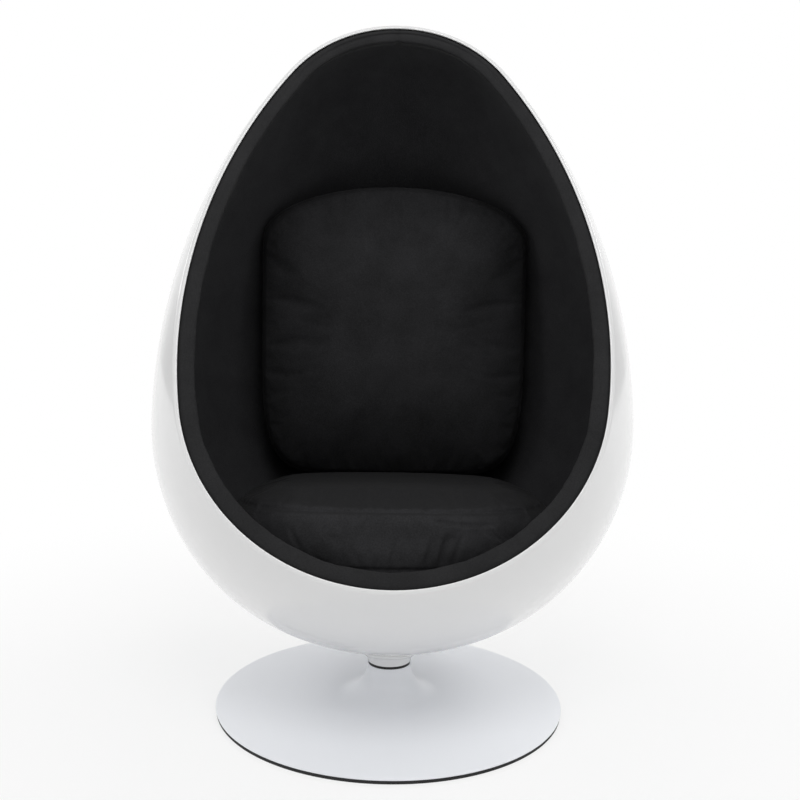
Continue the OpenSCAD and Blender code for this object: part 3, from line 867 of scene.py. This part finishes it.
outside = fillet(flare_r, np.linspace(neck_turn, math.pi / 2 - slope_turn, fillet_steps))
outside += [(foot_x + face_w * k / face_steps, foot_z - face_slope * face_w * k / face_steps)
            for k in range(1, face_steps)]
edge = rounded([
    (*outside[-1], 0), (base_r, foot_z - face_slope * face_w, edge_round),
    (base_r, cover_low.z, skirt_round), (base_r - skirt_t, cover_low.z, skirt_round),
    (base_r - skirt_t, edge_z - sheet_t, 0), (foot_x, foot_z - sheet_t, 0)], steps=6)
inside = fillet(flare_r + sheet_t, np.linspace(
    math.pi / 2 - slope_turn - foot_turn, neck_turn, fillet_back_steps))
neck_lip = [
    (neck_r - sheet_t, neck_z - lip_h), (neck_r - sheet_t + lip_w, neck_z),
    (neck_r - lip_w, neck_z), (neck_r, neck_z - lip_h)]
base_cover = lathed(
    "base_cover_spun", steps=288, section=np.array(outside + list(edge[1:]) + inside + neck_lip))

# Powder coat: an even, slightly cool satin white. Its baked surface has a fine peel, drawn
# about twice as wide as real, and its reflections sway with the long waves of the sheet.
powder_mm = 2.4
sway_mm = 170
powder_coat, tree, shader = new_material(
    "satin_powder_coat", Base_Color=linear("f5f7fb"), Roughness=0.34, IOR=1.5)
place = add_node(tree, "ShaderNodeTexCoord").outputs["Object"]
peel = add_node(tree, "ShaderNodeTexNoise", {
    "Vector": place, "Scale": 1000 / powder_mm, "Detail": 1.0})
sway = add_node(tree, "ShaderNodeTexNoise", {
    "Vector": place, "Scale": 1000 / sway_mm, "Detail": 1.0})
fine_bump = add_node(tree, "ShaderNodeBump", {
    "Height": peel.outputs["Fac"], "Strength": 0.12, "Distance": 0.0004})
long_bump = add_node(tree, "ShaderNodeBump", {
    "Height": sway.outputs["Fac"], "Strength": 0.1, "Distance": 0.003,
    "Normal": fine_bump.outputs[0]})
tree.links.new(long_bump.outputs[0], shader.inputs["Normal"])
finish_piece(base_cover, powder_coat, "base", "base_white", "base_cover")


# Floor ring: a moulded rubber profile under the base's edge. It grips the floor, and its
# black side shows all round below the white cover, whose sheet lies in its step.
ring_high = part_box("floor_ring")[1]
ring_w = 0.039
step_w = 0.0195
step_z = 0.0018
cover_gap = 0.0002
ring_out = ring_high.x
ring_in = ring_out - ring_w
ring_top = ring_high.z - cover_gap
step_r = ring_in + step_w
ring_foot_round = 0.0008
ring_top_round = 0.0006
step_round = 0.0004
ring_in_round = 0.0005
floor_ring = lathed("floor_ring_moulded", steps=256, section=rounded([
    (ring_out, 0.0, ring_foot_round), (ring_out, ring_top, ring_top_round),
    (step_r, ring_top, step_round), (step_r, step_z, step_round),
    (ring_in, step_z, ring_in_round), (ring_in, 0.0, ring_in_round)], steps=4))

# Moulded rubber: a dull black that takes the light broadly, with shallow scuffs from the
# floor, about a centimetre long, that are a little rougher than the rest.
scuff_mm = 11
rubber, tree, shader = new_material(
    "black_moulded_rubber", Base_Color=linear("161617"), Roughness=0.72, IOR=1.52)
place = add_node(tree, "ShaderNodeTexCoord").outputs["Object"]
scuff = add_node(tree, "ShaderNodeTexNoise", {
    "Vector": place, "Scale": 1000 / scuff_mm, "Detail": 4.0})
bump = add_node(tree, "ShaderNodeBump", {
    "Height": scuff.outputs["Fac"], "Strength": 0.25, "Distance": 0.0004})
tree.links.new(bump.outputs[0], shader.inputs["Normal"])
worn = add_node(tree, "ShaderNodeMapRange", {
    "Value": scuff.outputs["Fac"], "To Min": 0.6, "To Max": 0.85})
tree.links.new(worn.outputs[0], shader.inputs["Roughness"])
finish_piece(floor_ring, rubber, "base", "rubber", "floor_ring")


# Dust ring: a turned black plastic ring that stands on the column's top and closes the gap
# between the still neck and the turning collar. A short skirt centres it on the column.
dust_low, dust_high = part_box("dust_ring")
dust_bore = 0.0256
dust_seat_r = 0.0272
dust_seat_z = 0.0562
dust_top_round = 0.0012
dust_bore_round = 0.0004
dust_seat_round = 0.0002
dust_foot_round = 0.0003
dust_ring = lathed("dust_ring_turned", steps=128, section=rounded([
    (dust_high.x, dust_low.z, dust_foot_round), (dust_high.x, dust_high.z, dust_top_round),
    (dust_bore, dust_high.z, dust_bore_round), (dust_bore, dust_seat_z, dust_foot_round),
    (dust_seat_r, dust_seat_z, dust_seat_round), (dust_seat_r, dust_low.z, dust_foot_round)],
    steps=4))

# Turned acetal: a waxy, half-glossy black. The lathe leaves a grain of a tenth of a
# millimetre, which is drawn much coarser to show.
turned_mm = 3.3
black_plastic, tree, shader = new_material(
    "black_acetal_plastic", Base_Color=linear("111112"), Roughness=0.42, IOR=1.48)
place = add_node(tree, "ShaderNodeTexCoord").outputs["Object"]
turned = add_node(tree, "ShaderNodeTexNoise", {
    "Vector": place, "Scale": 1000 / turned_mm, "Detail": 2.0})
bump = add_node(tree, "ShaderNodeBump", {
    "Height": turned.outputs["Fac"], "Strength": 0.15, "Distance": 0.0002})
tree.links.new(bump.outputs[0], shader.inputs["Normal"])
finish_piece(dust_ring, black_plastic, "base", "black_plastic", "dust_ring")


# Neck collar: a steel collar on the spindle that flares softly into the shell's underside,
# which slopes, so the collar is taller in front than behind. Its gloss white paint is
# matched to the shell, so it has the gel coat's material.
collar_r = 0.038
collar_z = 0.0775
collar_bore = 0.0252
bore_foot_z = 0.0706
foot_round = 0.001
foot_w = 0.003
top_step = 0.003
into_shell = 0.001
spread_share = 0.6
foot_rows = 4
flare_rows = 20
collar_rows = 30
inside_egg_z = 0.3


def underside(angle, r):
    """Height of the shell's outer surface over a circle about the axis."""
    inside = np.full_like(angle, inside_egg_z)
    start = np.stack([r * np.cos(angle), r * np.sin(angle), inside], axis=-1)
    down = np.zeros_like(start)
    down[..., 2] = -1
    return reach(start, down, inset_of)[..., 2]


def collar_shape(angle, place):
    """Row by row: the rounded foot, the flare, three rows of the top, which is hidden in the
    shell, the bore's top and foot, and the collar's inner edge below."""
    row = np.rint(place * collar_rows).astype(int) % collar_rows
    free = underside(angle, np.full_like(angle, collar_r)) - collar_z
    climb = np.clip((row - foot_rows) / flare_rows, 0, 1)
    r = collar_r + spread_share * free * climb ** 2
    top = underside(angle, r) + into_shell
    z = np.minimum(collar_z + foot_round + (free - foot_round) * climb, top)
    turn = row / foot_rows * math.pi / 2
    past = row - foot_rows - flare_rows
    z = np.select(
        [row < foot_rows, past < 0, past < 4, past == 4],
        [collar_z + foot_round * (1 - np.cos(turn)), z, top, bore_foot_z], collar_z)
    r = np.select(
        [row < foot_rows, past < 0, past < 3, past < 5],
        [collar_r - foot_round * (1 - np.sin(turn)), r, r - past * top_step, collar_bore],
        collar_r - foot_w)
    return np.stack([r * np.cos(angle), r * np.sin(angle), z], axis=-1)


collar = ring_of_rows(
    "neck_collar_flared", around=128, loop=collar_rows, shape=collar_shape)
finish_piece(collar, gel_coat, "seat", "collar_white", "neck_collar")


# Hidden works: welded and turned steel parts, zinc-plated fasteners, bronze bushes, birch
# plywood, cut foam and the zips and strips of the cushions. They keep their CAD shapes.

# Hot-rolled steel is a dull grey with scale, zinc a cool satin silver, sintered bronze a
# finely porous gold, plywood a matt pale brown, foam an open-celled cream, the sliders' black
# nickel a dark gloss and nylon strip a matt black. Grains under a millimetre are drawn
# coarser. Each row: name, colour, roughness, metallic, grain in mm, grain's depth, CAD nodes.
hidden_works = (
    ("hot_rolled_steel", "6b6e72", 0.5, 1.0, 6, 0.0003, ("base_plate", "column")),
    ("zinc_plated_steel", "b9bdc2", 0.32, 1.0, 3.3, 0.0001, (
        "column_bolts", "column_washers", "lower_race", "bearing_balls", "upper_race",
        "spindle", "circlip", "foot_washer", "threaded_inserts", "mounting_bolts",
        "mounting_washers")),
    ("sintered_bronze", "b08d57", 0.4, 1.0, 1.7, 0.0001, (
        "lower_bush", "upper_bush", "ball_cage")),
    ("birch_plywood", "c9a878", 0.6, 0.0, 8, 0.0003, ("mounting_board",)),
    ("cut_polyurethane_foam", "e4dcc4", 0.95, 0.0, 1.4, 0.0008, (
        "bowl_foam", "lining_foam", "seat_cushion_core", "back_cushion_core")),
    ("black_nickel_plate", "2b2c2e", 0.3, 1.0, 3.3, 0.0001, (
        "seat_zip_slider", "back_zip_slider")),
    ("black_nylon_strip", "18181a", 0.7, 0.0, 1.1, 0.0006, (
        "hook_strips", "loop_strips", "seat_zip", "back_zip", "access_cap")),
)
for name, colour, roughness, metallic, grain_mm, grain_depth, nodes in hidden_works:
    material, tree, shader = new_material(
        name, Base_Color=linear(colour), Roughness=roughness, Metallic=metallic)
    place = add_node(tree, "ShaderNodeTexCoord").outputs["Object"]
    grain = add_node(tree, "ShaderNodeTexNoise", {
        "Vector": place, "Scale": 1000 / grain_mm, "Detail": 3.0})
    bump = add_node(tree, "ShaderNodeBump", {
        "Height": grain.outputs["Fac"], "Strength": 0.3, "Distance": grain_depth})
    tree.links.new(bump.outputs[0], shader.inputs["Normal"])
    for node in nodes:
        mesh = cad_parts[node].data
        mesh.materials.clear()
        mesh.materials.append(material)
